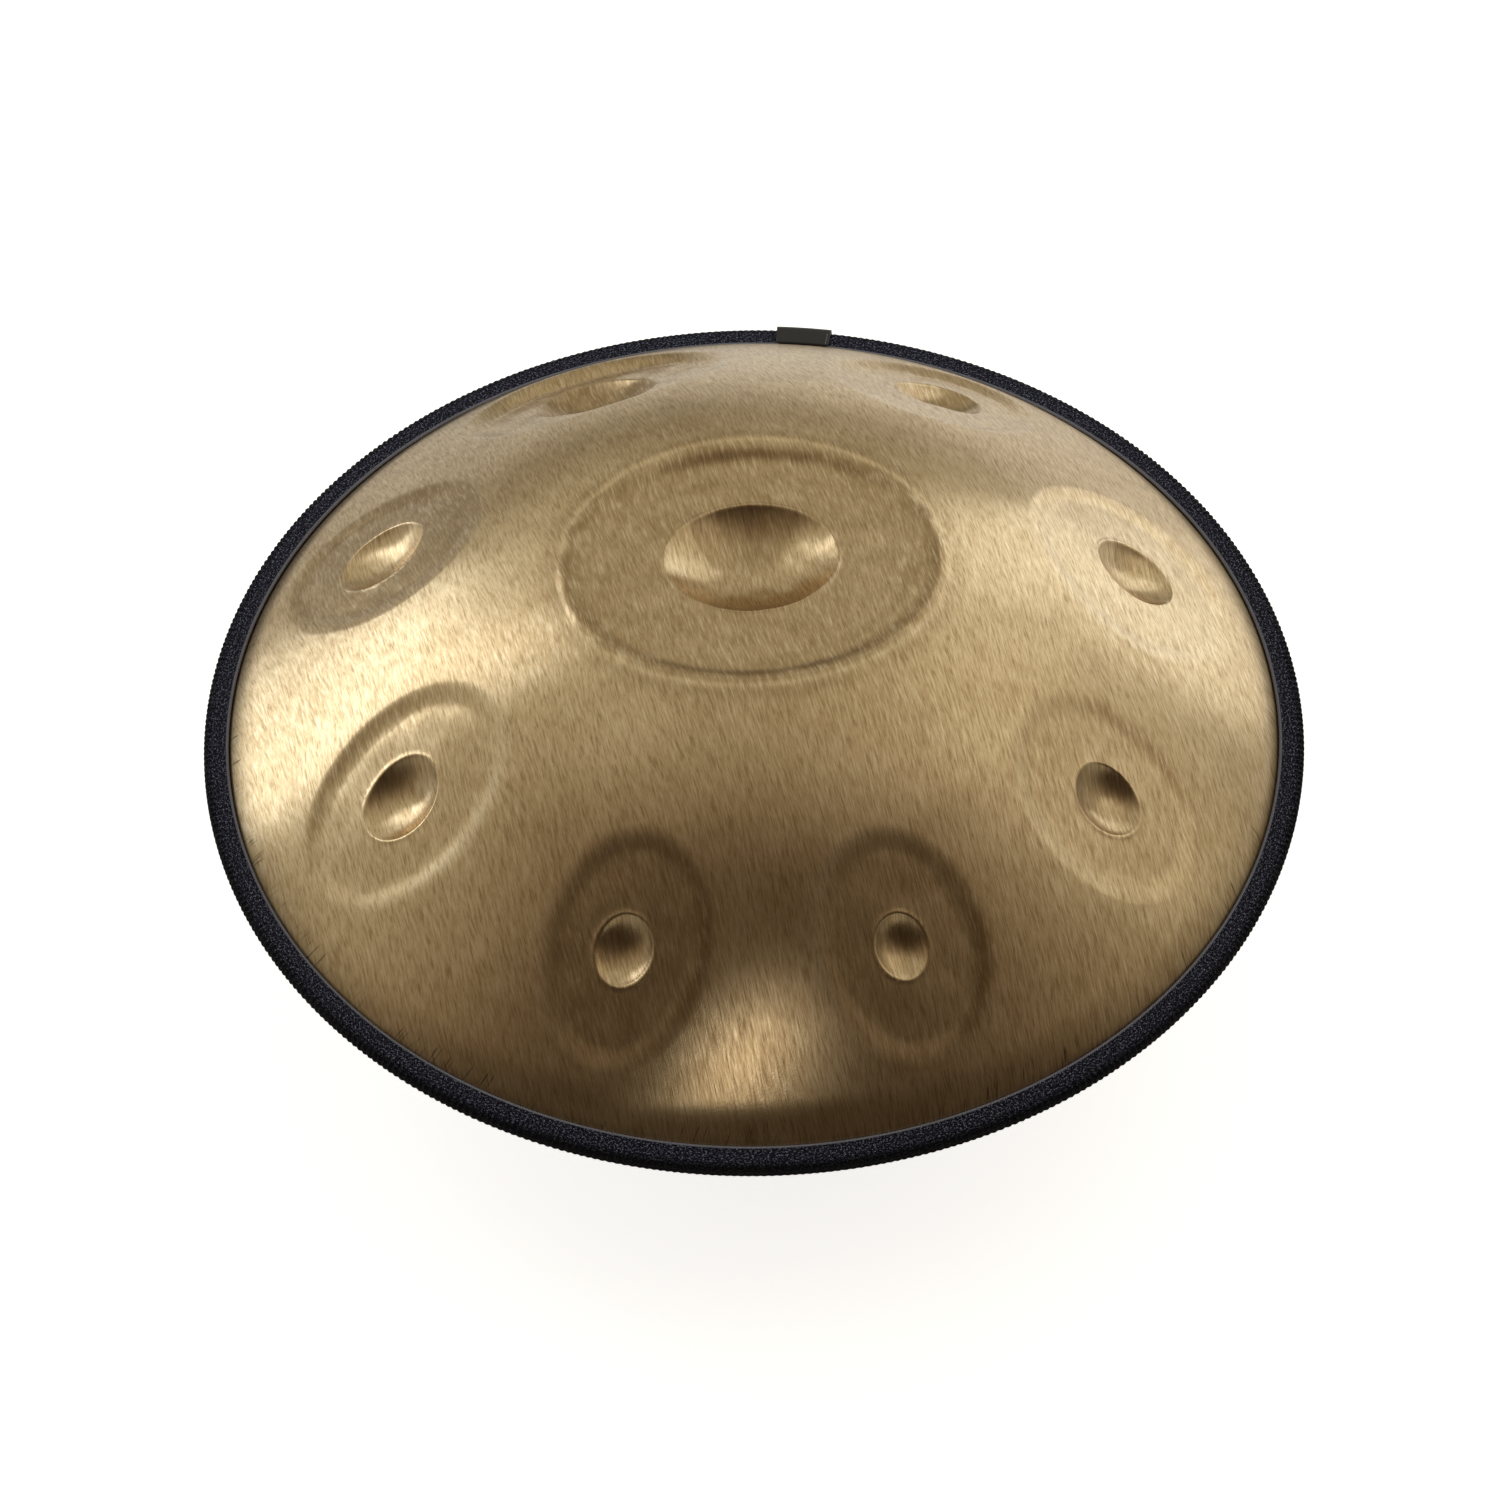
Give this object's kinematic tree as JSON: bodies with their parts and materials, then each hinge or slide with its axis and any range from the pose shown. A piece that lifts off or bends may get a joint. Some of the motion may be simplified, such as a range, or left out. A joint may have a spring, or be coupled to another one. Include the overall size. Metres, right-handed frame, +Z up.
{
  "type": "handpan",
  "caption": "Lens-shaped steel handpan of two glued half shells with dimpled tone fields, a bottom sound port and a woven tape round the rim.",
  "frame": {"origin": "centre of the flat ring round the sound port that the instrument rests on", "axes": "+Z up through the centre note, -Y towards the player, where the two smallest ring notes are, and +X to the player's right"},
  "size_m": [0.5559, 0.558, 0.2536],
  "materials": {
    "top_steel": "bronze-gold nitrided steel, brushed front to back, satin",
    "bottom_steel": "bronze-gold nitrided steel, brushed, satin",
    "adhesive": "cured two-part adhesive, matt",
    "trim_rubber": "black extruded rubber",
    "tape_weave": "blue-black herringbone webbing",
    "tag_ribbon": "black satin ribbon",
    "tag_thread": "grey sewing thread"
  },
  "bodies": {
    "root": {"top_shell": "top_steel", "bottom_shell": "bottom_steel", "rim_adhesive": "adhesive", "rim_edge_trim": "trim_rubber", "rim_tape": "tape_weave", "loop_tag": "tag_ribbon", "loop_tag_stitches": "tag_thread"}
  },
  "joints": []
}
